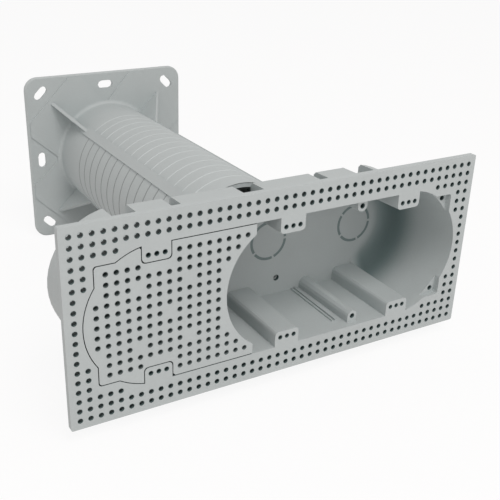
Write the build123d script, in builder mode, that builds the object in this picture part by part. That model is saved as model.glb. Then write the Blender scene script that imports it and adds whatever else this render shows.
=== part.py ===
"""Deep-wall flush mounting box: a three-gang front box on a tube bracket for insulated walls.

Frame, in millimetres: X along the front plate, Z up, and Y into the wall.
The wall face of the bracket's flange lies in the plane y = 0, with the origin on the tube's axis.
The object reaches forward from the wall, towards -Y. Depths called h are measured from the wall.
Plane.XZ faces -Y, so Plane.XZ.offset(h) is the plane at the depth h and extrusions go towards the room.
"""
from build123d import *
import os
from math import hypot, radians, sqrt, tan

# Bracket: the square flange that is screwed to the wall
flange_side = 115.0
flange_thick = 2.5
flange_corner_radius = 9.0
flange_edge_chamfer = 0.8
panel_rise = 0.8
panel_margin = 1.0
panel_corner_line = 83.0
notch_tip_distance = 38.0
notch_tip_half_width = 1.5
notch_outer_half_width = 19.0

# Bracket: slots for the wall screws
slot_length = 11.0
slot_width = 5.5
edge_slot_distance = 49.0
corner_slot_distance = 46.8

# Bracket: the tube that carries the cables through the insulation
tube_radius = 35.0
tube_wall = 2.0
tube_length = 192.5
tube_foot_chamfer = 1.2

# Bracket: screw ridges along the tube's diagonals, and the gussets at their foot
ridge_width = 6.0
ridge_rise = 1.2
ridge_depth_inside = 1.8
tube_screw_radius = 33.7
tube_screw_pilot = 2.2
tube_screw_pilot_depth = 25.0
gusset_thick = 2.0
gusset_reach = 56.0
gusset_length = 29.0
gusset_nose = 1.2

# Box: front plate
plate_width = 229.0
plate_height = 99.0
plate_thick = 3.5
plate_corner_radius = 1.0

# Box: three-gang opening
gang_pitch = 71.0
gang_radius = 35.5
opening_half_height = 35.0
pocket_half_width = 100.5
pocket_half_height = 29.75
pocket_inner = 84.0
pocket_corner_radius = 1.6
pocket_floor_thick = 2.0
pocket_rim = 1.6

# Box: the tub behind the plate
box_depth = 50.0
tub_wall = 1.5
back_wall = 1.8
tub_draft_angle = 1.8
tub_back_chamfer = 1.8

# Box: device screw posts with three holes, on the standard 60 mm spacing
tab_width = 14.0
tab_reach = 26.65
tab_corner_radius = 2.0
tab_hole_diameter = 2.4
tab_hole_pitch = 4.0
device_screw_spacing = 60.0
post_draft_angle = 1.2
post_solid_length = 18.0
post_channel_width = 12.2
post_channel_wall = 1.7

# Box: single round posts half-way between the outer and middle gangs
mid_post_offset = 43.8
mid_post_height = 31.3
mid_post_radius = 3.0
mid_post_draft_angle = 1.3
mid_channel_width = 5.2
mid_channel_wall = 1.7
screw_hole_diameter = 2.8
screw_hole_depth = 15.0

# Box: screw bosses behind the corner pockets
corner_screw_x = 97.5
corner_screw_z = 26.8
corner_boss_side = 6.4
corner_boss_length = 13.0

# Box: back wall and floor details
knockout_x = (17.6, 75.7)
knockout_radius = 10.8
knockout_groove = 1.3
knockout_groove_depth = 0.7
knockout_sides = 15
knockout_bridges = 5
knockout_bridge_width = 1.2
tube_screw_hole = 3.6
guide_x = 35.5
guide_gap = 1.3
guide_rib_width = 0.8
guide_rib_height = 1.0
guide_front_gap = 8.0
spigot_length = 12.0
spigot_wall = 1.8
spigot_clearance = 0.15
spigot_half_width = 9.0

# Plaster key: the hole grid of the front plate and the filler plate
key_pitch = 5.0
key_columns = 45
key_rows = 19
key_hole_diameter = 2.5
key_land = 3.4

# Small rounds that repeat are drawn with a few flats, which keeps the model light
key_hole_sides = 4
few_sides = 6
slot_sides = 8
corner_sides = 12
tub_end_sides = 48

# Filler plate over the left gang
filler_gap = 0.45
filler_end = 20.25
filler_land = 3.0
filler_plain_spots = ((-80, 15), (-55, 15), (-65, 0), (-80, -15), (-55, -15))
filler_relief = 1.6
peg_diameter = 2.4
peg_length = 5.0

# Depths that follow from the sizes above
overall_depth = tube_length + box_depth
plate_back = overall_depth - plate_thick
tub_floor = tube_length + back_wall
tub_length = plate_back - tube_length
cavity_length = overall_depth - tub_floor
tube_bore = tube_radius - tube_wall
tube_screw_offset = tube_screw_radius / sqrt(2)
device_screw_z = device_screw_spacing / 2


def gang_outline(offset):
    """Three-gang outline moved outwards by an offset: straight top and bottom, round ends."""
    Rectangle(2 * gang_pitch, 2 * (opening_half_height + offset))
    with Locations((-gang_pitch, 0), (gang_pitch, 0)):
        Circle(gang_radius + offset)


def tub_inset(depth):
    """How far the tub's inner wall has drawn in at a depth, because of the draft."""
    return (overall_depth - depth) * tan(radians(tub_draft_angle))


def faceted_block(width, length, radius, mode=Mode.ADD):
    """Rectangle whose round corners are drawn with a few flats."""
    with BuildSketch(mode=Mode.PRIVATE) as block:
        with GridLocations(width - 2 * radius, length - 2 * radius, 2, 2):
            RegularPolygon(radius, corner_sides)
        make_hull()
    add(block.sketch, mode=mode)


def tab_outlines(gap, mode=Mode.ADD):
    """The six screw tabs, reaching from beyond the opening's edge to their rounded noses."""
    tab_length = gang_radius
    middle = tab_reach - gap + tab_length / 2
    with Locations(*[(x, side * middle) for x in gang_centres for side in (-1, 1)]):
        faceted_block(tab_width + 2 * gap, tab_length, tab_corner_radius, mode=mode)


def mid_post_outlines(length):
    """Long blocks with a round nose, about the four single screw posts."""
    middle = mid_post_height - mid_post_radius + length / 2
    with GridLocations(2 * mid_post_offset, 2 * middle, 2, 2):
        faceted_block(2.02 * mid_post_radius, length, mid_post_radius)


def few_sided_hole(diameter, sides=few_sides, mode=Mode.ADD):
    """A small repeated hole, whose flats touch the round hole that it stands for."""
    RegularPolygon(diameter / 2, sides, major_radius=False, rotation=180 / sides, mode=mode)


def land_round_opening(x, z):
    """Smallest distance from a point of the plate to the opening or a pocket."""
    beyond_pocket = max(abs(x) - pocket_half_width, abs(z) - pocket_half_height)
    if abs(x) > gang_pitch:
        return min(beyond_pocket, hypot(abs(x) - gang_pitch, z) - gang_radius)
    return min(beyond_pocket, abs(z) - opening_half_height)


def land_on_filler(x, z):
    """Smallest distance from a point inside the filler plate to its edge."""
    round_end = gang_radius - hypot(x + gang_pitch, z)
    wing = min(x + pocket_half_width, pocket_half_height - abs(z))
    left = max(round_end, wing) if x < -gang_pitch else opening_half_height - abs(z)
    beside_tab = max(abs(x + gang_pitch) - tab_width / 2 + tab_corner_radius, 0)
    below_tab = max(tab_reach + tab_corner_radius - abs(z), 0)
    tab = hypot(beside_tab, below_tab) - tab_corner_radius
    right = min(-filler_end - x, hypot(x, z) - gang_radius)
    return min(left, tab, right)


gang_centres = (-gang_pitch, 0.0, gang_pitch)
key_grid = [
    (key_pitch * (column - (key_columns - 1) / 2), key_pitch * (row - (key_rows - 1) / 2))
    for column in range(key_columns)
    for row in range(key_rows)
]
plate_holes = [p for p in key_grid if land_round_opening(*p) >= key_land]
filler_holes = [p for p in key_grid if land_on_filler(*p) >= filler_land and p not in filler_plain_spots]

# Wall bracket: flange, tube, ridges and gussets, one moulding
with BuildPart() as wall_bracket:
    # Square flange with chamfered front edges
    with BuildSketch(Plane.XZ):
        RectangleRounded(flange_side, flange_side, flange_corner_radius)
    extrude(amount=flange_thick)
    flange_front = wall_bracket.faces().sort_by(Axis.Y)[0]
    chamfer(flange_front.edges(), flange_edge_chamfer)

    # Slightly raised middle panel, cut back in a notch round each edge slot
    panel_side = flange_side - 2 * flange_edge_chamfer - 2 * panel_margin
    corner_side = sqrt(2) * panel_corner_line
    with BuildSketch(Plane.XZ.offset(flange_thick)):
        Rectangle(panel_side, panel_side)
        Rectangle(corner_side, corner_side, rotation=45, mode=Mode.INTERSECT)
        with BuildSketch(mode=Mode.PRIVATE) as notch:
            with BuildLine():
                Polyline(
                    (-notch_outer_half_width, flange_side / 2),
                    (-notch_tip_half_width, notch_tip_distance),
                    (notch_tip_half_width, notch_tip_distance),
                    (notch_outer_half_width, flange_side / 2),
                    close=True,
                )
            make_face()
        with PolarLocations(0, 4):
            add(notch.sketch, mode=Mode.SUBTRACT)
    extrude(amount=panel_rise)

    # Tube turned about its axis, with a chamfered foot
    with BuildSketch(Plane.XY):
        with BuildLine():
            foot_base = flange_thick + panel_rise
            Polyline(
                (tube_bore, 0),
                (tube_bore, -tube_length),
                (tube_radius, -tube_length),
                (tube_radius, -(foot_base + tube_foot_chamfer)),
                (tube_radius + tube_foot_chamfer, -foot_base),
                (tube_radius + tube_foot_chamfer, 0),
                close=True,
            )
        make_face()
    revolve(axis=Axis.Y)

    # Ridge along each diagonal, which carries the screw pilots
    ridge_height = ridge_rise + tube_wall + ridge_depth_inside
    ridge_middle = tube_radius + ridge_rise - ridge_height / 2
    with BuildSketch(Plane.XZ):
        with PolarLocations(ridge_middle, 4, start_angle=45):
            Rectangle(ridge_height, ridge_width)
    extrude(amount=tube_length)

    # Gusset under each ridge, standing on the flange's diagonal
    for turn in range(4):
        gusset_plane = Plane.XY.rotated((0, 45 + 90 * turn, 0))
        with BuildSketch(gusset_plane):
            with BuildLine():
                Polyline(
                    (tube_radius - tube_wall / 2, -flange_thick / 2),
                    (gusset_reach, -flange_thick / 2),
                    (gusset_reach, -(flange_thick + gusset_nose)),
                    (tube_radius + ridge_rise, -(flange_thick + gusset_length)),
                    (tube_radius - tube_wall / 2, -(flange_thick + gusset_length)),
                    close=True,
                )
            make_face()
        extrude(amount=gusset_thick / 2, both=True)

    # Way through for the cables, between the ridges
    with BuildSketch(Plane.XZ):
        Circle(tube_bore)
        with PolarLocations(ridge_middle, 4, start_angle=45):
            Rectangle(ridge_height, ridge_width, mode=Mode.SUBTRACT)
    extrude(amount=flange_thick + panel_rise, mode=Mode.SUBTRACT)

    # Slots for the wall screws: four along the edges, four across the corners
    with BuildSketch(Plane.XZ):
        with BuildSketch(mode=Mode.PRIVATE) as slot:
            with GridLocations(0, slot_length - slot_width, 1, 2):
                RegularPolygon(slot_width / 2, slot_sides)
            make_hull()
        with PolarLocations(edge_slot_distance, 4):
            add(slot.sketch)
        with PolarLocations(sqrt(2) * corner_slot_distance, 4, start_angle=45):
            add(slot.sketch)
    extrude(amount=flange_thick + panel_rise, mode=Mode.SUBTRACT)

    # Pilot holes for the screws from the box
    with BuildSketch(Plane.XZ.offset(tube_length)):
        with PolarLocations(tube_screw_radius, 4, start_angle=45):
            few_sided_hole(tube_screw_pilot)
    extrude(amount=-tube_screw_pilot_depth, mode=Mode.SUBTRACT)
wall_bracket.part.label = "wall_bracket"

# Space in the tub, narrower at the back, less the posts and the guide ribs
with BuildPart() as tub_space:
    floor_inset = tub_inset(tub_floor)
    with BuildSketch(Plane.YZ):
        with BuildLine():
            Polyline(
                (-overall_depth, -opening_half_height),
                (-overall_depth, opening_half_height),
                (-tub_floor, opening_half_height - floor_inset),
                (-tub_floor, floor_inset - opening_half_height),
                close=True,
            )
        make_face()
    extrude(amount=gang_pitch, both=True)
    end_middle = -(overall_depth + tub_floor) / 2
    with Locations((-gang_pitch, end_middle, 0), (gang_pitch, end_middle, 0)):
        Cone(gang_radius, gang_radius - floor_inset, cavity_length, rotation=(-90, 0, 0))

    # Posts: their noses lean outwards towards the floor, as the mould needs
    with BuildSketch(Plane.XZ.offset(overall_depth)):
        tab_outlines(0)
    extrude(amount=-cavity_length, taper=-post_draft_angle, mode=Mode.SUBTRACT)
    with BuildSketch(Plane.XZ.offset(plate_back)):
        mid_post_outlines(gang_radius / 2)
    extrude(amount=-(cavity_length - plate_thick), taper=-mid_post_draft_angle, mode=Mode.SUBTRACT)

    # Guide ribs in pairs along the top and bottom, of one height from the floor to the front
    rib_front = overall_depth - guide_front_gap
    for guide_middle in (-guide_x, guide_x):
        for side in (-1, 1):
            rib_x = guide_middle + side * (guide_gap + guide_rib_width) / 2
            with BuildSketch(Plane.YZ.offset(rib_x)):
                with BuildLine():
                    crest = opening_half_height - guide_rib_height
                    Polyline(
                        (-rib_front, crest - tub_inset(rib_front)),
                        (-rib_front, opening_half_height),
                        (-tub_floor, opening_half_height),
                        (-tub_floor, crest - floor_inset),
                        close=True,
                    )
                make_face()
                mirror(about=Plane.XZ)
            extrude(amount=guide_rib_width / 2, both=True, mode=Mode.SUBTRACT)

# Front box: perforated plate, tub, posts and spigots, one moulding
with BuildPart() as front_box:
    # Outside of the tub, with the same draft as the inside and its round ends in flats
    with BuildSketch(Plane.XZ.offset(plate_back)):
        Rectangle(2 * gang_pitch, 2 * (opening_half_height + tub_wall))
        with Locations((-gang_pitch, 0), (gang_pitch, 0)):
            RegularPolygon(gang_radius + tub_wall, tub_end_sides, major_radius=False)
    extrude(amount=-tub_length, taper=tub_draft_angle)
    tub_back = front_box.faces().sort_by(Axis.Y)[-1]
    chamfer(tub_back.edges(), tub_back_chamfer)

    # Floors of the corner pockets with a square boss behind each screw hole
    with BuildSketch(Plane.XZ.offset(plate_back)):
        Rectangle(2 * (pocket_half_width + pocket_rim), 2 * (pocket_half_height + pocket_rim))
    extrude(amount=-pocket_floor_thick)
    with BuildSketch(Plane.XZ.offset(plate_back)):
        with GridLocations(2 * corner_screw_x, 2 * corner_screw_z, 2, 2):
            Rectangle(corner_boss_side, corner_boss_side)
    extrude(amount=-corner_boss_length)

    # Front plate with its corner pockets and plaster key holes
    with BuildSketch(Plane.XZ.offset(plate_back)):
        RectangleRounded(plate_width, plate_height, plate_corner_radius)
        pocket_middle = (pocket_half_width + pocket_inner) / 2
        with GridLocations(2 * pocket_middle, 0, 2, 1):
            pocket_width = pocket_half_width - pocket_inner
            RectangleRounded(pocket_width, 2 * pocket_half_height, pocket_corner_radius, mode=Mode.SUBTRACT)
        with Locations(*plate_holes):
            few_sided_hole(key_hole_diameter, key_hole_sides, mode=Mode.SUBTRACT)
    extrude(amount=plate_thick)

    # Hollow tub; the tabs and posts stay
    add(tub_space.part, mode=Mode.SUBTRACT)

    # The posts are cored from outside and from behind, so their walls stay thin
    with BuildSketch(Plane.XZ.offset(tube_length)):
        tab_core_z = tab_reach + post_channel_wall + gang_radius / 2
        with Locations(*[(x, side * tab_core_z) for x in gang_centres for side in (-1, 1)]):
            Rectangle(post_channel_width, gang_radius)
        mid_core_z = mid_post_height - mid_post_radius + mid_channel_wall + gang_radius / 2
        with GridLocations(2 * mid_post_offset, 2 * mid_core_z, 2, 2):
            Rectangle(mid_channel_width, gang_radius)
    extrude(amount=tub_length - post_solid_length, mode=Mode.SUBTRACT)

    # Screw holes: three in each tab, one in each single post and corner pocket
    with BuildSketch(Plane.XZ.offset(overall_depth)):
        with Locations(*[(x, side * device_screw_z) for x in gang_centres for side in (-1, 1)]):
            Circle(tab_hole_diameter / 2)
            with GridLocations(2 * tab_hole_pitch, 0, 2, 1):
                few_sided_hole(tab_hole_diameter)
    extrude(amount=-(plate_thick + screw_hole_depth), mode=Mode.SUBTRACT)
    with BuildSketch(Plane.XZ.offset(plate_back)):
        with GridLocations(2 * mid_post_offset, 2 * mid_post_height, 2, 2):
            few_sided_hole(screw_hole_diameter)
        with GridLocations(2 * corner_screw_x, 2 * corner_screw_z, 2, 2):
            few_sided_hole(screw_hole_diameter)
    extrude(amount=-(corner_boss_length - tub_wall), mode=Mode.SUBTRACT)

    # Knock-outs: broken ring grooves in the back wall, cut from inside
    with BuildSketch(Plane.XZ.offset(tub_floor)):
        for x in (-knockout_x[1], -knockout_x[0], *knockout_x):
            with Locations((x, 0)):
                RegularPolygon(knockout_radius + knockout_groove / 2, knockout_sides)
                RegularPolygon(knockout_radius - knockout_groove / 2, knockout_sides, mode=Mode.SUBTRACT)
                with PolarLocations(knockout_radius, knockout_bridges):
                    Rectangle(3 * knockout_groove, knockout_bridge_width, mode=Mode.SUBTRACT)
    extrude(amount=-knockout_groove_depth, mode=Mode.SUBTRACT)

    # Holes for the screws into the tube's ridges
    with BuildSketch(Plane.XZ.offset(tube_length)):
        with GridLocations(2 * tube_screw_offset, 2 * tube_screw_offset, 2, 2):
            few_sided_hole(tube_screw_hole)
    extrude(amount=back_wall, mode=Mode.SUBTRACT)

    # Two curved spigots behind the back wall, which plug into the tube
    with BuildSketch(Plane.XZ.offset(tube_length)):
        Circle(tube_bore - spigot_clearance)
        Circle(tube_bore - spigot_clearance - spigot_wall, mode=Mode.SUBTRACT)
        Rectangle(2 * tube_radius, 2 * spigot_half_width, mode=Mode.INTERSECT)
    extrude(amount=-spigot_length)
front_box.part.label = "front_box"

# Filler plate: closes the left gang, flush with the front plate
with BuildPart() as filler_plate:
    with BuildSketch(Plane.XZ.offset(plate_back)):
        gang_outline(-filler_gap)
        wing_width = 2 * (pocket_half_width - filler_gap)
        RectangleRounded(wing_width, 2 * (pocket_half_height - filler_gap), pocket_corner_radius)
        tab_outlines(filler_gap, mode=Mode.SUBTRACT)
        with Locations((-filler_end - plate_width / 2, 0)):
            Rectangle(plate_width, plate_height, mode=Mode.INTERSECT)
        Circle(gang_radius, mode=Mode.SUBTRACT)
        relief_x = tab_width / 2 + filler_gap
        relief_z = opening_half_height - filler_gap
        with Locations((-gang_pitch - relief_x, relief_z), (-gang_pitch + relief_x, -relief_z)):
            Rectangle(filler_relief, filler_relief, rotation=45, mode=Mode.SUBTRACT)
        with Locations(*filler_holes):
            few_sided_hole(key_hole_diameter, key_hole_sides, mode=Mode.SUBTRACT)
    extrude(amount=plate_thick)

    # Pegs that press into the screw holes of the two left pockets
    with BuildSketch(Plane.XZ.offset(plate_back)):
        with Locations((-corner_screw_x, -corner_screw_z), (-corner_screw_x, corner_screw_z)):
            few_sided_hole(peg_diameter)
    extrude(amount=-peg_length)
filler_plate.part.label = "filler_plate"

os.makedirs("parts", exist_ok=True)
export_step(front_box.part, "parts/front_box.step")
export_step(filler_plate.part, "parts/filler_plate.step")
export_step(wall_bracket.part, "parts/wall_bracket.step")
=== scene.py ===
"""Looks of the flush mounting box, in moulded grey plastic.

Adds round rims in the holes, knock-out rings, coves, skins on the gap's walls and the tube's saw lines;
all carry painted shade, and the saw lines painted light on the tube's top.
"""

from math import cos, hypot, pi, radians, sin, sqrt, tan

import bmesh
import bpy
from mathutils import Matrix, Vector


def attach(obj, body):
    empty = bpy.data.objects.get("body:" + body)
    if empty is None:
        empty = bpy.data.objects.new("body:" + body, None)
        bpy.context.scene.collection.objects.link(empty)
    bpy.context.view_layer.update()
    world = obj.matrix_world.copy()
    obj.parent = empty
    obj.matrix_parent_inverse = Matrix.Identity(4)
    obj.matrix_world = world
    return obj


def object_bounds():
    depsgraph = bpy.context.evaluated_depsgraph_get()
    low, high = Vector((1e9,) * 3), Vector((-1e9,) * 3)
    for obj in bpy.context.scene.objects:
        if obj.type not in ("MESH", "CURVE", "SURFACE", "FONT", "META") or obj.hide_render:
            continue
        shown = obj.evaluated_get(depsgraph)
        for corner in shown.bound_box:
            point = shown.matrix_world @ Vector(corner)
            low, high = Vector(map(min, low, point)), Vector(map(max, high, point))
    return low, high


MM = 0.001

# Sizes of the box, in millimetres; the wall face of the flange lies at y = 0 and depths reach towards -Y
TUBE_LENGTH = 192.5
BOX_DEPTH = 50.0
PLATE_THICK = 3.5
FACE = -(TUBE_LENGTH + BOX_DEPTH)
GANG_PITCH = 71.0
GANG_RADIUS = 35.5
OPENING_HALF_HEIGHT = 35.0
POCKET_HALF_WIDTH = 100.5
POCKET_HALF_HEIGHT = 29.75

# Plaster key grid
KEY_PITCH = 5.0
KEY_COLUMNS = 45
KEY_ROWS = 19
KEY_HOLE_RADIUS = 1.25
KEY_HOLE_CORNER = 1.80
KEY_LAND = 3.4
FILLER_END = 20.25
FILLER_LAND = 3.0
FILLER_PLAIN_SPOTS = ((-80, 15), (-55, 15), (-65, 0), (-80, -15), (-55, -15))

# Screw tabs, posts, pockets and back wall
TAB_WIDTH = 14.0
TAB_REACH = 26.65
TAB_CORNER_RADIUS = 2.0
TAB_SCREW_Z = 30.0
TAB_HOLE_PITCH = 4.0
TAB_HOLE_RADIUS = 1.18
TAB_HOLE_CORNER = 1.42
TAB_HOLE_DEPTH = 14.0
POST_SCREW = (43.8, 31.3)
POCKET_SCREW = (97.5, 26.8)
POST_HOLE_RADIUS = 1.38
POST_HOLE_CORNER = 1.66
POST_HOLE_DEPTH = 11.0
BACK_SCREW_RADIUS = 33.7
BACK_HOLE_RADIUS = 1.78
BACK_HOLE_CORNER = 2.12
BACK_WALL = 1.8

# Round rims, whose mouth is so many edges deep; each HOLLOW below is a share of painted shade, up to 1
RIM_LIFT = 0.02
# The edge is a flat ring of painted shade round each hole; EDGE_SHARE and MOUTH_SHARE are shares of a hole's
# painted shade
RIM_EDGE = 0.13
RIM_MOUTH_EDGES = 7.0
RIM_STEPS = 12
PLATE_HOLE_HOLLOW = 0.93
FILLER_HOLE_HOLLOW = 0.74
SCREW_HOLE_HOLLOW = 0.85
EDGE_SHARE = 0.65
MOUTH_SHARE = 0.77

# Knock-outs in the back wall, with painted shade over their grooves
KNOCKOUT_X = (17.6, 75.7)
KNOCKOUT_RADIUS = 10.75
KNOCKOUT_GROOVE = 1.6
KNOCKOUT_BRIDGES = 5
KNOCKOUT_BRIDGE_WIDTH = 1.3
KNOCKOUT_HOLLOW = 0.52

# Coves at the tub's round ends; their painted shade fades out towards the middle of the gang, between two
# distances
TUB_DRAFT = radians(1.8)
COVE_RADIUS = 12.0
COVE_SWEEP = 156
COVE_LIFT = 0.14
COVE_WALL_SKIN = 13.0
COVE_BACK_SKIN = 6.0
COVE_FADE = (4.0, 13.0)
COVE_HOLLOW = 0.70
COVE_EDGE_HOLLOW = 0.34
COVE_STEPS = 48
COVE_SKIN_STEPS = 6
QUARTER_STEPS = 8

# Gap round the filler plate, whose walls carry a skin of painted shade
GAP_LAND = (-0.25, 1.3)
GAP_END = 0.3
OPEN_EDGE_LAND = 1.0
SIDE_WALL_LEAN = 0.2
GAP_HOLLOW = 0.85
SKIN_LIFT = 0.03
WELD = 0.001

# Tube and flange; the grooves carry painted shade, and on the tube's top, between two shares of its radius,
# one wall turns to painted light
TUBE_RADIUS = 35.0
TUBE_STEPS = 128
SAW_LINE_FIRST = 40.0
SAW_LINE_PITCH = 10.0
SAW_LINE_COUNT = 15
SKIN_RISE = 0.45
SKIN_END = 0.1
GROOVE_WIDTH = 1.1
GROOVE_FLOOR = 0.01
GROOVE_HOLLOW = 0.40
GROOVE_TOP = (0.55, 0.80)
GROOVE_TOP_HOLLOW = 0.30
GROOVE_TOP_LIGHT = 0.58
FLANGE_FRONT = 3.3
FOOT_RADIUS = 2.5


# Materials

def add_node(tree, kind, **values):
    """A node whose settings are given by name, and whose inputs are given with in_ before the name."""
    node = tree.nodes.new(kind)
    for name, value in values.items():
        if name.startswith("in_"):
            node.inputs[name[3:].replace("_", " ")].default_value = value
        else:
            setattr(node, name, value)
    return node


def moulded_plastic(name, colour, grain, red_loss=1.22):
    """Matte moulded plastic: a faint cloudy tone, spark-eroded grain, uneven gloss, and painted shade in
    hollows.

    The attribute hollow, up to 1, is painted shade: it darkens the walls of deep narrow holes and grooves,
    and red by the power red_loss. Below 0 it is painted light, which lightens them.
    """
    material = bpy.data.materials.new(name)
    material.use_nodes = True
    tree = material.node_tree
    link = tree.links.new
    shader = tree.nodes["Principled BSDF"]
    place = tree.nodes.new("ShaderNodeTexCoord").outputs["Object"]

    clouds = add_node(tree, "ShaderNodeTexNoise", in_Scale=38.0, in_Detail=4.0, in_Roughness=0.6)
    tones = tree.nodes.new("ShaderNodeValToRGB")
    tones.color_ramp.elements[0].position = 0.32
    tones.color_ramp.elements[1].position = 0.70
    tones.color_ramp.elements[0].color = (*[c * 0.955 for c in colour], 1)
    tones.color_ramp.elements[1].color = (*colour, 1)
    link(place, clouds.inputs["Vector"])
    link(clouds.outputs["Fac"], tones.inputs["Fac"])

    specks = add_node(tree, "ShaderNodeTexNoise", in_Scale=900.0, in_Detail=2.0)
    speck_tone = add_node(tree, "ShaderNodeMapRange", in_From_Min=0.3, in_From_Max=0.7)
    speck_tone.inputs["To Min"].default_value = 0.975
    speck_tone.inputs["To Max"].default_value = 1.0
    shade = add_node(tree, "ShaderNodeVectorMath", operation="SCALE")
    link(place, specks.inputs["Vector"])
    link(specks.outputs["Fac"], speck_tone.inputs["Value"])
    link(tones.outputs["Color"], shade.inputs[0])
    # Painted shade: the attribute hollow darkens the base colour, and red more; below 0 it is painted light
    hollow = add_node(tree, "ShaderNodeAttribute", attribute_name="hollow")
    open_air = add_node(tree, "ShaderNodeMath", operation="SUBTRACT")
    open_air.inputs[0].default_value = 1.0
    less_red = add_node(tree, "ShaderNodeMath", operation="POWER")
    less_red.inputs[1].default_value = red_loss
    left_colour = tree.nodes.new("ShaderNodeCombineXYZ")
    darkened = add_node(tree, "ShaderNodeVectorMath", operation="MULTIPLY")
    link(hollow.outputs["Fac"], open_air.inputs[1])
    link(open_air.outputs["Value"], less_red.inputs[0])
    link(less_red.outputs["Value"], left_colour.inputs["X"])
    link(open_air.outputs["Value"], left_colour.inputs["Y"])
    link(open_air.outputs["Value"], left_colour.inputs["Z"])
    link(speck_tone.outputs["Result"], shade.inputs["Scale"])
    link(shade.outputs["Vector"], darkened.inputs[0])
    link(left_colour.outputs["Vector"], darkened.inputs[1])
    link(darkened.outputs["Vector"], shader.inputs["Base Color"])

    gloss = add_node(tree, "ShaderNodeMapRange", in_From_Min=0.3, in_From_Max=0.7)
    gloss.inputs["To Min"].default_value = 0.50
    gloss.inputs["To Max"].default_value = 0.62
    link(clouds.outputs["Fac"], gloss.inputs["Value"])
    link(gloss.outputs["Result"], shader.inputs["Roughness"])

    pits = add_node(tree, "ShaderNodeTexNoise", in_Scale=grain, in_Detail=3.0, in_Roughness=0.7)
    flow = add_node(tree, "ShaderNodeTexNoise", in_Scale=60.0, in_Detail=1.0)
    height = add_node(tree, "ShaderNodeMath", operation="MULTIPLY_ADD")
    height.inputs[1].default_value = 0.25
    bump = add_node(tree, "ShaderNodeBump", in_Strength=0.35, in_Distance=0.00006)
    link(place, pits.inputs["Vector"])
    link(place, flow.inputs["Vector"])
    link(pits.outputs["Fac"], height.inputs[0])
    link(flow.outputs["Fac"], height.inputs[2])
    link(height.outputs["Value"], bump.inputs["Height"])
    link(bump.outputs["Normal"], shader.inputs["Normal"])
    shader.inputs["Specular IOR Level"].default_value = 0.35
    return material


def pale_stage(name, colour, seen):
    """A pale surface that the camera sees as nearly white, with the object's shadow on it."""
    material = bpy.data.materials.new(name)
    material.use_nodes = True
    tree = material.node_tree
    link = tree.links.new
    output = tree.nodes["Material Output"]
    shader = tree.nodes["Principled BSDF"]
    shader.inputs["Base Color"].default_value = (*colour, 1)
    shader.inputs["Roughness"].default_value = 0.9
    shader.inputs["Specular IOR Level"].default_value = 0.0
    glow = add_node(tree, "ShaderNodeEmission", in_Strength=1.0)
    path = tree.nodes.new("ShaderNodeLightPath")
    share = add_node(tree, "ShaderNodeMath", operation="MULTIPLY")
    share.inputs[1].default_value = seen
    mix = tree.nodes.new("ShaderNodeMixShader")
    link(path.outputs["Is Camera Ray"], share.inputs[0])
    link(share.outputs["Value"], mix.inputs["Fac"])
    link(shader.outputs["BSDF"], mix.inputs[1])
    link(glow.outputs["Emission"], mix.inputs[2])
    link(mix.outputs["Shader"], output.inputs["Surface"])
    return material


# Geometry Nodes

def new_tree(name, inputs):
    """A geometry tree with a geometry input and output and the named inputs, as (name, socket type)."""
    tree = bpy.data.node_groups.new(name, "GeometryNodeTree")
    tree.interface.new_socket("Geometry", in_out="INPUT", socket_type="NodeSocketGeometry")
    for label, kind in inputs:
        tree.interface.new_socket(label, in_out="INPUT", socket_type=kind)
    tree.interface.new_socket("Geometry", in_out="OUTPUT", socket_type="NodeSocketGeometry")
    return tree, tree.nodes.new("NodeGroupInput"), tree.nodes.new("NodeGroupOutput")


def stand(tree, shape, angle):
    """A shape turned about X by an angle in degrees, so that its axis points along the box."""
    upright = tree.nodes.new("GeometryNodeTransform")
    upright.inputs["Rotation"].default_value = (radians(angle), 0, 0)
    tree.links.new(shape, upright.inputs["Geometry"])
    return upright.outputs["Geometry"]


def on_points(tree, points, shape):
    """A shape on each point."""
    instances = tree.nodes.new("GeometryNodeInstanceOnPoints")
    tree.links.new(points, instances.inputs["Points"])
    tree.links.new(shape, instances.inputs["Instance"])
    return instances.outputs["Instances"]


def quarter_arc(tree, radius, start):
    """A quarter of a circle from a start angle in degrees, as a profile curve."""
    quarter = add_node(tree, "GeometryNodeCurveArc", mode="RADIUS")
    quarter.inputs["Resolution"].default_value = QUARTER_STEPS + 1
    quarter.inputs["Start Angle"].default_value = radians(start)
    quarter.inputs["Sweep Angle"].default_value = radians(90)
    tree.links.new(radius, quarter.inputs["Radius"])
    return quarter.outputs["Curve"]


def moved(tree, shape, offset):
    """A shape moved by a vector."""
    place = tree.nodes.new("GeometryNodeTransform")
    tree.links.new(shape, place.inputs["Geometry"])
    tree.links.new(offset, place.inputs["Translation"])
    return place.outputs["Geometry"]


def here(tree, axis):
    """One coordinate of the point that a field is read at."""
    split = tree.nodes.new("ShaderNodeSeparateXYZ")
    tree.links.new(tree.nodes.new("GeometryNodeInputPosition").outputs["Position"], split.inputs["Vector"])
    return split.outputs[axis]


def smooth_step(tree, value, span):
    """A smooth rise from 0 to 1 over a span."""
    step = add_node(tree, "ShaderNodeMapRange", interpolation_type="SMOOTHSTEP")
    step.inputs["From Min"].default_value, step.inputs["From Max"].default_value = span
    tree.links.new(value, step.inputs["Value"])
    return step.outputs["Result"]


def finish_tree(tree, group_in, group_out, instances):
    """Realize the instances, shade them smooth and give them the material input."""
    real = tree.nodes.new("GeometryNodeRealizeInstances")
    smooth = tree.nodes.new("GeometryNodeSetShadeSmooth")
    paint = tree.nodes.new("GeometryNodeSetMaterial")
    tree.links.new(instances, real.inputs["Geometry"])
    tree.links.new(real.outputs["Geometry"], smooth.inputs["Geometry"])
    tree.links.new(smooth.outputs["Geometry"], paint.inputs["Geometry"])
    tree.links.new(group_in.outputs["Material"], paint.inputs["Material"])
    tree.links.new(paint.outputs["Geometry"], group_out.inputs["Geometry"])


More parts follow.
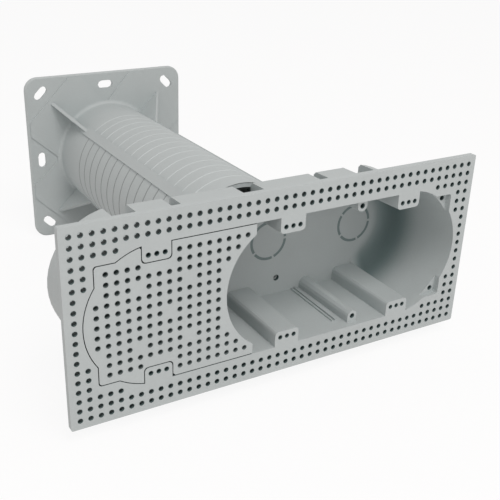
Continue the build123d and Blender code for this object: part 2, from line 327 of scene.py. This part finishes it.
def combine(tree, x=None, y=None, z=None):
    """A vector from up to three sockets."""
    node = tree.nodes.new("ShaderNodeCombineXYZ")
    for socket, source in zip(node.inputs, (x, y, z)):
        if source is not None:
            tree.links.new(source, socket)
    return node.outputs["Vector"]


def calc(tree, operation, a, b):
    """A math node of two sockets or numbers."""
    node = tree.nodes.new("ShaderNodeMath")
    node.operation = operation
    for socket, source in zip(node.inputs, (a, b)):
        if isinstance(source, (int, float)):
            socket.default_value = source
        else:
            tree.links.new(source, socket)
    return node.outputs["Value"]


def level_circle(tree, radius, steps):
    """A circle whose profiles keep x outwards and y down the axis."""
    circle = tree.nodes.new("GeometryNodeCurvePrimitiveCircle")
    tree.links.new(radius, circle.inputs["Radius"])
    tree.links.new(steps, circle.inputs["Resolution"])
    level = add_node(tree, "GeometryNodeSetCurveNormal", mode="Z_UP")
    tree.links.new(circle.outputs["Curve"], level.inputs["Curve"])
    return level.outputs["Curve"]


def ring(tree, path, corners, hollows=None):
    """Strips swept through profile corners; each strip has its own vertices, so edges stay crisp."""
    strips = tree.nodes.new("GeometryNodeJoinGeometry")
    for start, end, hollow in zip(corners, corners[1:], hollows or [0.0] * len(corners)):
        stretch = tree.nodes.new("GeometryNodeCurvePrimitiveLine")
        tree.links.new(start, stretch.inputs["Start"])
        tree.links.new(end, stretch.inputs["End"])
        strip = marked(tree, swept(tree, path, stretch.outputs["Curve"]), hollow)
        tree.links.new(strip, strips.inputs["Geometry"])
    return strips.outputs["Geometry"]


def marked(tree, mesh, hollow):
    """The mesh or curve with the attribute hollow, its painted shade, on its points, from a number or a
    socket.
    """
    mark = add_node(tree, "GeometryNodeStoreNamedAttribute", data_type="FLOAT", domain="POINT")
    mark.inputs["Name"].default_value = "hollow"
    if isinstance(hollow, float):
        mark.inputs["Value"].default_value = hollow
    else:
        tree.links.new(hollow, mark.inputs["Value"])
    tree.links.new(mesh, mark.inputs["Geometry"])
    return mark.outputs["Geometry"]


def swept(tree, path, profile):
    """A profile swept round a path, with its faces turned outwards."""
    sweep = tree.nodes.new("GeometryNodeCurveToMesh")
    tree.links.new(path, sweep.inputs["Curve"])
    tree.links.new(profile, sweep.inputs["Profile Curve"])
    outwards = tree.nodes.new("GeometryNodeFlipFaces")
    tree.links.new(sweep.outputs["Mesh"], outwards.inputs["Mesh"])
    return outwards.outputs["Mesh"]


def rim_tree():
    """A round rim on each point: a flat land, an edge ring of painted shade, a mouth, the wall, and a land at
    its far end.
    """
    tree, group_in, group_out = new_tree("hole_rims", (
        ("Hole radius", "NodeSocketFloat"), ("Land radius", "NodeSocketFloat"),
        ("Lift", "NodeSocketFloat"), ("Edge", "NodeSocketFloat"), ("Depth", "NodeSocketFloat"),
        ("Steps round", "NodeSocketInt"), ("Hollow", "NodeSocketFloat"), ("Material", "NodeSocketMaterial")))
    size = group_in.outputs
    path = level_circle(tree, size["Hole radius"], size["Steps round"])
    up = calc(tree, "MULTIPLY", size["Lift"], -1.0)
    land_end = calc(tree, "SUBTRACT", size["Land radius"], size["Hole radius"])
    mouth_end = calc(tree, "MULTIPLY", size["Edge"], RIM_MOUTH_EDGES)
    # Painted shade on the edge, the mouth and the wall, as shares of the input Hollow
    edge_hollow = calc(tree, "MULTIPLY", size["Hollow"], EDGE_SHARE)
    mouth_hollow = calc(tree, "MULTIPLY", size["Hollow"], MOUTH_SHARE)
    rim = ring(tree, path, (
        combine(tree, land_end, up),
        combine(tree, size["Edge"], up),
        combine(tree, None, up),
        combine(tree, None, mouth_end),
        combine(tree, None, size["Depth"]),
        combine(tree, land_end, size["Depth"]),
    ), (0.0, edge_hollow, mouth_hollow, size["Hollow"], 0.0))
    rims_there = on_points(tree, group_in.outputs["Geometry"], stand(tree, rim, 90))
    finish_tree(tree, group_in, group_out, rims_there)
    return tree


def saw_line_tree():
    """A thin skin round the tube: a fine V groove with painted shade for each saw line, and a soft foot on
    the flange.
    """
    tree, group_in, group_out = new_tree("saw_lines", (
        ("Radius", "NodeSocketFloat"), ("First line", "NodeSocketFloat"),
        ("Pitch", "NodeSocketFloat"), ("Lines", "NodeSocketInt"),
        ("Groove width", "NodeSocketFloat"), ("Groove depth", "NodeSocketFloat"),
        ("Foot level", "NodeSocketFloat"), ("Foot radius", "NodeSocketFloat"),
        ("Skin end", "NodeSocketFloat"), ("Steps round", "NodeSocketInt"),
        ("Material", "NodeSocketMaterial")))
    link = tree.links.new
    size = group_in.outputs
    path = level_circle(tree, size["Radius"], size["Steps round"])

    half_pitch = calc(tree, "MULTIPLY", size["Pitch"], 0.5)
    half_groove = calc(tree, "MULTIPLY", size["Groove width"], 0.5)
    inwards = calc(tree, "MULTIPLY", size["Groove depth"], -1.0)
    downwards = calc(tree, "MULTIPLY", size["Radius"], -1.0)
    # Painted shade in each groove; on the tube's top the box-side wall darkens and the flange-side wall gets
    # painted light
    top = smooth_step(tree, calc(tree, "DIVIDE", here(tree, "Y"), downwards), GROOVE_TOP)
    box_side = calc(tree, "MULTIPLY", top, GROOVE_TOP_HOLLOW)
    flange_side = calc(tree, "SUBTRACT", GROOVE_HOLLOW, calc(tree, "MULTIPLY", top, GROOVE_TOP_LIGHT))
    one_line = ring(tree, path, (
        combine(tree, None, half_pitch),
        combine(tree, None, half_groove),
        combine(tree, inwards, None),
        combine(tree, None, calc(tree, "MULTIPLY", half_groove, -1.0)),
        combine(tree, None, calc(tree, "MULTIPLY", half_pitch, -1.0)),
    ), (0.0, box_side, flange_side, 0.0))
    places = add_node(tree, "GeometryNodeMeshLine", mode="OFFSET")
    link(size["Lines"], places.inputs["Count"])
    first = calc(tree, "MULTIPLY", size["First line"], -1.0)
    link(combine(tree, None, None, first), places.inputs["Start Location"])
    link(combine(tree, None, None, calc(tree, "MULTIPLY", size["Pitch"], -1.0)), places.inputs["Offset"])

    lined = calc(tree, "MULTIPLY", size["Pitch"], size["Lines"])
    lines_start = calc(tree, "SUBTRACT", size["First line"], half_pitch)
    lines_end = calc(tree, "ADD", lines_start, lined)
    foot_top = calc(tree, "ADD", size["Foot level"], size["Foot radius"])
    plain = ring(tree, path, (combine(tree, None, lines_start), combine(tree, None, foot_top)))
    tail = ring(tree, path, (combine(tree, None, size["Skin end"]), combine(tree, None, lines_end)))

    foot_profile = quarter_arc(tree, size["Foot radius"], 180)
    foot = swept(tree, path, moved(tree, foot_profile, combine(tree, size["Foot radius"], foot_top)))

    whole = tree.nodes.new("GeometryNodeJoinGeometry")
    for part in (foot, plain, tail, on_points(tree, places.outputs["Mesh"], one_line)):
        link(part, whole.inputs["Geometry"])
    finish_tree(tree, group_in, group_out, stand(tree, whole.outputs["Geometry"], -90))
    return tree


def cove_tree():
    """A concave cove along an arc, between the tub's back wall and its round end, carrying painted shade.

    A thin skin on either side lets its painted shade fade out on the walls.
    """
    tree, group_in, group_out = new_tree("end_cove", (
        ("End radius", "NodeSocketFloat"), ("Cove radius", "NodeSocketFloat"),
        ("Start angle", "NodeSocketFloat"), ("Sweep angle", "NodeSocketFloat"),
        ("Wall skin", "NodeSocketFloat"), ("Back skin", "NodeSocketFloat"), ("Draft", "NodeSocketFloat"),
        ("Hollow", "NodeSocketFloat"), ("Edge hollow", "NodeSocketFloat"),
        ("Material", "NodeSocketMaterial")))
    link = tree.links.new
    size = group_in.outputs
    arc = add_node(tree, "GeometryNodeCurveArc", mode="RADIUS")
    arc.inputs["Resolution"].default_value = COVE_STEPS + 1
    link(size["End radius"], arc.inputs["Radius"])
    link(size["Start angle"], arc.inputs["Start Angle"])
    link(size["Sweep angle"], arc.inputs["Sweep Angle"])
    level = add_node(tree, "GeometryNodeSetCurveNormal", mode="Z_UP")
    link(arc.outputs["Curve"], level.inputs["Curve"])
    path = level.outputs["Curve"]

    along = tree.nodes.new("GeometryNodeSplineParameter").outputs["Factor"]
    swell = calc(tree, "SINE", calc(tree, "MULTIPLY", along, pi), 0.0)
    rise = calc(tree, "SUBTRACT", size["Hollow"], size["Edge hollow"])
    deep = calc(tree, "ADD", calc(tree, "MULTIPLY", swell, rise), size["Edge hollow"])
    inwards = calc(tree, "MULTIPLY", size["Cove radius"], -1.0)
    shaded = marked(tree, quarter_arc(tree, size["Cove radius"], 0), deep)
    cove_profile = moved(tree, shaded, combine(tree, inwards, inwards))

    spread = calc(tree, "MULTIPLY", size["Wall skin"], size["Draft"])
    wall_front = combine(tree, spread, calc(tree, "SUBTRACT", inwards, size["Wall skin"]))
    back_inside = combine(tree, calc(tree, "SUBTRACT", inwards, size["Back skin"]))
    fading_in = calc(tree, "MULTIPLY", calc(tree, "POWER", along, 2.0), size["Edge hollow"])
    left_over = calc(tree, "SUBTRACT", 1.0, along)
    fading_out = calc(tree, "MULTIPLY", calc(tree, "POWER", left_over, 2.0), size["Edge hollow"])
    skins = (
        (wall_front, combine(tree, None, inwards), fading_in),
        (combine(tree, inwards), back_inside, fading_out),
    )
    strips = tree.nodes.new("GeometryNodeJoinGeometry")
    link(swept(tree, path, cove_profile), strips.inputs["Geometry"])
    for start, end, fading in skins:
        line = tree.nodes.new("GeometryNodeCurvePrimitiveLine")
        link(start, line.inputs["Start"])
        link(end, line.inputs["End"])
        stepped = add_node(tree, "GeometryNodeResampleCurve", in_Count=COVE_SKIN_STEPS + 1)
        link(line.outputs["Curve"], stepped.inputs["Curve"])
        link(swept(tree, path, marked(tree, stepped.outputs["Curve"], fading)), strips.inputs["Geometry"])

    # The painted shade fades out near the middle of the gang
    from_middle = calc(tree, "ABSOLUTE", here(tree, "X"), 0.0)
    clear_of_middle = smooth_step(tree, from_middle, [edge * MM for edge in COVE_FADE])
    before = add_node(tree, "GeometryNodeInputNamedAttribute", data_type="FLOAT")
    before.inputs["Name"].default_value = "hollow"
    faded = marked(tree, strips.outputs["Geometry"],
                   calc(tree, "MULTIPLY", before.outputs["Attribute"], clear_of_middle))
    coves_there = on_points(tree, group_in.outputs["Geometry"], stand(tree, faded, 90))
    finish_tree(tree, group_in, group_out, coves_there)
    return tree


def evenly_hollow(mesh, hollow, material):
    """An object of a mesh, with one value of painted shade in the attribute hollow all over, and a material.
    """
    values = [hollow] * len(mesh.vertices)
    mesh.attributes.new("hollow", "FLOAT", "POINT").data.foreach_set("value", values)
    mesh.materials.append(material)
    piece = bpy.data.objects.new(mesh.name, mesh)
    bpy.context.scene.collection.objects.link(piece)
    return piece


def groove_shade_rings(name, centres, level, material):
    """Flat rings of painted shade over the knock-outs' grooves, broken where the bridges stay."""
    points = []
    faces = []
    turn = 2 * pi / KNOCKOUT_BRIDGES
    gap = KNOCKOUT_BRIDGE_WIDTH / KNOCKOUT_RADIUS
    steps = 8
    for x in centres:
        for bridge in range(KNOCKOUT_BRIDGES):
            for step in range(steps + 1):
                angle = bridge * turn + gap / 2 + (turn - gap) * step / steps
                for side in (-1, 1):
                    radius = KNOCKOUT_RADIUS + side * KNOCKOUT_GROOVE / 2
                    points.append(((x + radius * cos(angle)) * MM, level * MM, radius * sin(angle) * MM))
                if step:
                    last = len(points) - 1
                    faces.append((last - 3, last - 2, last, last - 1))
    mesh = bpy.data.meshes.new(name)
    mesh.from_pydata(points, [], faces)
    return evenly_hollow(mesh, KNOCKOUT_HOLLOW, material)


def grown(name, tree, values, points=((0, 0, 0),)):
    """A plain mesh object made by a tree on a cloud of points, in metres, with the tree's inputs by name."""
    seed = bpy.data.meshes.new(name + "_points")
    seed.from_pydata(points, [], [])
    holder = bpy.data.objects.new(name + "_grower", seed)
    bpy.context.scene.collection.objects.link(holder)
    grower = holder.modifiers.new("grow", "NODES")
    grower.node_group = tree
    sockets = {s.name: s.identifier for s in tree.interface.items_tree if s.in_out == "INPUT"}
    for label, value in values.items():
        grower[sockets[label]] = value
    depsgraph = bpy.context.evaluated_depsgraph_get()
    mesh = bpy.data.meshes.new_from_object(holder.evaluated_get(depsgraph))
    mesh.name = name
    piece = bpy.data.objects.new(name, mesh)
    bpy.context.scene.collection.objects.link(piece)
    bpy.data.objects.remove(holder)
    return piece


# Places that follow from the sizes

def land_round_opening(x, z):
    """Smallest distance from a point of the plate to the opening or a pocket."""
    beyond_pocket = max(abs(x) - POCKET_HALF_WIDTH, abs(z) - POCKET_HALF_HEIGHT)
    if abs(x) > GANG_PITCH:
        return min(beyond_pocket, hypot(abs(x) - GANG_PITCH, z) - GANG_RADIUS)
    return min(beyond_pocket, abs(z) - OPENING_HALF_HEIGHT)


def land_on_filler(x, z):
    """Smallest distance from a point inside the filler plate to its edge."""
    round_end = GANG_RADIUS - hypot(x + GANG_PITCH, z)
    wing = min(x + POCKET_HALF_WIDTH, POCKET_HALF_HEIGHT - abs(z))
    left = max(round_end, wing) if x < -GANG_PITCH else OPENING_HALF_HEIGHT - abs(z)
    beside_tab = max(abs(x + GANG_PITCH) - TAB_WIDTH / 2 + TAB_CORNER_RADIUS, 0)
    below_tab = max(TAB_REACH + TAB_CORNER_RADIUS - abs(z), 0)
    tab = hypot(beside_tab, below_tab) - TAB_CORNER_RADIUS
    right = min(-FILLER_END - x, hypot(x, z) - GANG_RADIUS)
    return min(left, tab, right)


def beside_gap(x, z):
    """Whether a place on a side wall is in the gap round the filler plate, clear of its open round edge."""
    right = min(-FILLER_END - x, hypot(x, z) - GANG_RADIUS)
    return right > OPEN_EDGE_LAND and GAP_LAND[0] < land_on_filler(x, z) < GAP_LAND[1]


def gap_shade_skin(name, node, material):
    """A skin of painted shade on a moulding's walls in the gap round the filler plate, copied from the
    moulding.
    """
    shell = bmesh.new()
    shell.from_mesh(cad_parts[node].data)
    bmesh.ops.remove_doubles(shell, verts=shell.verts, dist=WELD * MM)
    behind_plate = ((0, (FACE + PLATE_THICK) * MM, 0), (0, 1, 0))
    past_filler = ((-(FILLER_END + GAP_END) * MM, 0, 0), (1, 0, 0))
    for place, normal in (behind_plate, past_filler):
        bmesh.ops.bisect_plane(shell, geom=shell.verts[:] + shell.edges[:] + shell.faces[:], dist=WELD * MM,
                               plane_co=place, plane_no=normal, clear_outer=True)
    extra = []
    for face in shell.faces:
        middle = face.calc_center_median() / MM
        if abs(face.normal.y) > SIDE_WALL_LEAN or not beside_gap(middle.x, middle.z):
            extra.append(face)
    bmesh.ops.delete(shell, geom=extra, context="FACES")
    shell.normal_update()
    for vertex in shell.verts:
        vertex.co += vertex.normal * SKIN_LIFT * MM
    mesh = bpy.data.meshes.new(name)
    shell.to_mesh(mesh)
    shell.free()
    return evenly_hollow(mesh, GAP_HOLLOW, material)


def at_depth(places, y):
    """Places given as (x, z) in millimetres, as points in metres at a depth."""
    return [(x * MM, y * MM, z * MM) for x, z in places]


def four_corners(x, z):
    """The four mirror places of one."""
    return [(side * x, end * z) for side in (-1, 1) for end in (-1, 1)]


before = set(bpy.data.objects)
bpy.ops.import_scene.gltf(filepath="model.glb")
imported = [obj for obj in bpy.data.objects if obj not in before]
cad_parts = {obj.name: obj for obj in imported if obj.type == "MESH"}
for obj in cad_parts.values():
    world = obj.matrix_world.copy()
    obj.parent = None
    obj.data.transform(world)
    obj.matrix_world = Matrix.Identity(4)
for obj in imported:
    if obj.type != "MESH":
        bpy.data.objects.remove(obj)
cad_low, cad_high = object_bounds()
scene = bpy.context.scene
scene.view_settings.view_transform = "Standard"

# Finishes
PLASTIC_GREY = (0.474, 0.528, 0.530)
box_plastic = moulded_plastic("box_plastic", PLASTIC_GREY, 1500.0)
filler_plastic = moulded_plastic("filler_plastic", [c * 1.01 for c in PLASTIC_GREY], 1500.0, 1.12)
bracket_plastic = moulded_plastic("bracket_plastic", PLASTIC_GREY, 1300.0, 1.0)
for node, material in (
    ("front_box", box_plastic),
    ("filler_plate", filler_plastic),
    ("wall_bracket", bracket_plastic),
):
    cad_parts[node].data.materials.clear()
    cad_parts[node].data.materials.append(material)

# Round rims in every small hole, with painted shade
key_grid = [
    (KEY_PITCH * (column - (KEY_COLUMNS - 1) / 2), KEY_PITCH * (row - (KEY_ROWS - 1) / 2))
    for column in range(KEY_COLUMNS)
    for row in range(KEY_ROWS)
]
plate_holes = [p for p in key_grid if land_round_opening(*p) >= KEY_LAND]
filler_holes = [p for p in key_grid if land_on_filler(*p) >= FILLER_LAND and p not in FILLER_PLAIN_SPOTS]
tab_holes = [
    (x + step * TAB_HOLE_PITCH, side * TAB_SCREW_Z)
    for x in (-GANG_PITCH, 0, GANG_PITCH) for side in (-1, 1) for step in (-1, 0, 1)
]
back_screw = BACK_SCREW_RADIUS / sqrt(2)
rims = rim_tree()


def hole_rims(name, places, level, radius, corner, depth, material, hollow=SCREW_HOLE_HOLLOW):
    """Round rims on all the small holes of one kind; a rim's land covers the corners of the hole it lines."""
    return grown(name, rims, {
        "Hole radius": radius * MM, "Land radius": corner * MM, "Lift": RIM_LIFT * MM, "Edge": RIM_EDGE * MM,
        "Depth": depth * MM, "Steps round": RIM_STEPS, "Hollow": hollow, "Material": material,
    }, at_depth(places, level))


pocket_screws = four_corners(*POST_SCREW) + four_corners(*POCKET_SCREW)
back_level = -(TUBE_LENGTH + BACK_WALL)
pieces = [
    (hole_rims("plate_hole_rims", plate_holes, FACE, KEY_HOLE_RADIUS, KEY_HOLE_CORNER,
               PLATE_THICK, box_plastic, PLATE_HOLE_HOLLOW), "box_plastic"),
    (hole_rims("filler_hole_rims", filler_holes, FACE, KEY_HOLE_RADIUS, KEY_HOLE_CORNER,
               PLATE_THICK, filler_plastic, FILLER_HOLE_HOLLOW), "filler_plastic"),
    (hole_rims("tab_hole_rims", tab_holes, FACE, TAB_HOLE_RADIUS, TAB_HOLE_CORNER,
               TAB_HOLE_DEPTH, box_plastic), "box_plastic"),
    (hole_rims("post_hole_rims", pocket_screws, FACE + PLATE_THICK, POST_HOLE_RADIUS, POST_HOLE_CORNER,
               POST_HOLE_DEPTH, box_plastic), "box_plastic"),
    (hole_rims("back_hole_rims", four_corners(back_screw, back_screw), back_level, BACK_HOLE_RADIUS,
               BACK_HOLE_CORNER, BACK_WALL, box_plastic), "box_plastic"),
]

# Painted shade over the knock-outs' grooves, and the coves at the tub's round ends with their painted shade
pieces.append((groove_shade_rings("knockout_groove_shade", [side * x for side in (-1, 1) for x in KNOCKOUT_X],
                            back_level - SKIN_LIFT, box_plastic), "box_plastic"))
coves = cove_tree()
end_radius = GANG_RADIUS - (BOX_DEPTH - BACK_WALL - COVE_RADIUS) * tan(TUB_DRAFT) - COVE_LIFT
for side, middle in ((-1, 180), (1, 0)):
    label = "left" if side < 0 else "right"
    cove = grown("end_cove_" + label, coves, {
        "End radius": end_radius * MM, "Cove radius": COVE_RADIUS * MM,
        "Start angle": radians(middle - COVE_SWEEP / 2), "Sweep angle": radians(COVE_SWEEP),
        "Wall skin": COVE_WALL_SKIN * MM, "Back skin": COVE_BACK_SKIN * MM,
        "Draft": tan(TUB_DRAFT), "Hollow": COVE_HOLLOW, "Edge hollow": COVE_EDGE_HOLLOW,
        "Material": box_plastic,
    }, at_depth([(side * GANG_PITCH, 0)], back_level - SKIN_LIFT))
    pieces.append((cove, "box_plastic"))

# Painted shade on the walls of the gap round the filler plate
pieces.append((gap_shade_skin("gap_shade_box", "front_box", box_plastic), "box_plastic"))
pieces.append((gap_shade_skin("gap_shade_filler", "filler_plate", filler_plastic), "filler_plastic"))

# Saw lines round the tube
pieces.append((grown("tube_saw_lines", saw_line_tree(), {
    "Radius": (TUBE_RADIUS + SKIN_RISE) * MM, "First line": SAW_LINE_FIRST * MM, "Pitch": SAW_LINE_PITCH * MM,
    "Lines": SAW_LINE_COUNT, "Groove width": GROOVE_WIDTH * MM,
    "Groove depth": (SKIN_RISE - GROOVE_FLOOR) * MM,
    "Foot level": FLANGE_FRONT * MM, "Foot radius": FOOT_RADIUS * MM,
    "Skin end": (TUBE_LENGTH - SKIN_END) * MM, "Steps round": TUBE_STEPS, "Material": bracket_plastic,
}), "bracket_plastic"))

for piece, slot in pieces:
    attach(piece, "root")

# Floor, under the flange's lower edge
FLOOR_REACH = 6.0
floor_mesh = bpy.data.meshes.new("floor")
corners = [(x * FLOOR_REACH, y * FLOOR_REACH, cad_low.z) for x, y in ((-1, -1), (1, -1), (1, 1), (-1, 1))]
floor_mesh.from_pydata(corners, [], [(0, 1, 2, 3)])
floor = bpy.data.objects.new("floor", floor_mesh)
scene.collection.objects.link(floor)
floor_mesh.materials.append(pale_stage("pale_floor", (0.90, 0.90, 0.90), 0.90))

# World: white to the camera and in reflections, a soft grey light to the object
LIGHT_COLOUR = (1.0, 0.935, 0.92)
world = bpy.data.worlds.new("studio")
scene.world = world
world.use_nodes = True
sky = world.node_tree
ambient = sky.nodes["Background"]
ambient.inputs["Color"].default_value = (*LIGHT_COLOUR, 1)
ambient.inputs["Strength"].default_value = 0.585
backdrop = add_node(sky, "ShaderNodeBackground", in_Strength=1.0)
backdrop.inputs["Color"].default_value = (1, 1, 1, 1)
seen = sky.nodes.new("ShaderNodeLightPath")
either = add_node(sky, "ShaderNodeMath", operation="MAXIMUM")
any_view = add_node(sky, "ShaderNodeMath", operation="MAXIMUM")
choose = sky.nodes.new("ShaderNodeMixShader")
sky.links.new(seen.outputs["Is Camera Ray"], either.inputs[0])
sky.links.new(seen.outputs["Is Transmission Ray"], either.inputs[1])
sky.links.new(either.outputs["Value"], any_view.inputs[0])
sky.links.new(seen.outputs["Is Glossy Ray"], any_view.inputs[1])
sky.links.new(any_view.outputs["Value"], choose.inputs["Fac"])
sky.links.new(ambient.outputs["Background"], choose.inputs[1])
sky.links.new(backdrop.outputs["Background"], choose.inputs[2])
sky.links.new(choose.outputs["Shader"], sky.nodes["World Output"].inputs["Surface"])


def soft_lamp(name, place, target, width, power):
    """A square soft box at a place, turned to a target."""
    lamp = bpy.data.lights.new(name, "AREA")
    lamp.color = LIGHT_COLOUR
    lamp.size = width
    lamp.energy = power
    holder = bpy.data.objects.new(name, lamp)
    holder.location = place
    holder.rotation_euler = (Vector(target) - Vector(place)).to_track_quat("-Z", "Y").to_euler()
    scene.collection.objects.link(holder)


BOX_CENTRE = (0.0, -0.18, 0.0)
soft_lamp("key_lamp", (-0.30, -1.20, 0.90), BOX_CENTRE, 0.9, 1.8)
soft_lamp("high_lamp", (0.00, -0.95, 1.15), BOX_CENTRE, 0.7, 7.9)

# Camera at the photograph's place
PHOTO_SIZE = 500
FOCAL_PIXELS = 793.9
CENTRE_PIXEL = (223.45, 251.74)
CAMERA_PLACE = (-0.20039, -0.52904, 0.17258)
CAMERA_TURN = (65.73, -1.077, -29.08)
camera_data = bpy.data.cameras.new("photo_camera")
camera = bpy.data.objects.new("photo_camera", camera_data)
scene.collection.objects.link(camera)
camera_data.sensor_width = 36.0
camera_data.lens = FOCAL_PIXELS / PHOTO_SIZE * camera_data.sensor_width
camera_data.shift_x = (PHOTO_SIZE / 2 - CENTRE_PIXEL[0]) / PHOTO_SIZE
camera_data.shift_y = (CENTRE_PIXEL[1] - PHOTO_SIZE / 2) / PHOTO_SIZE
camera.location = CAMERA_PLACE
camera.rotation_euler = [radians(a) for a in CAMERA_TURN]
scene.camera = camera
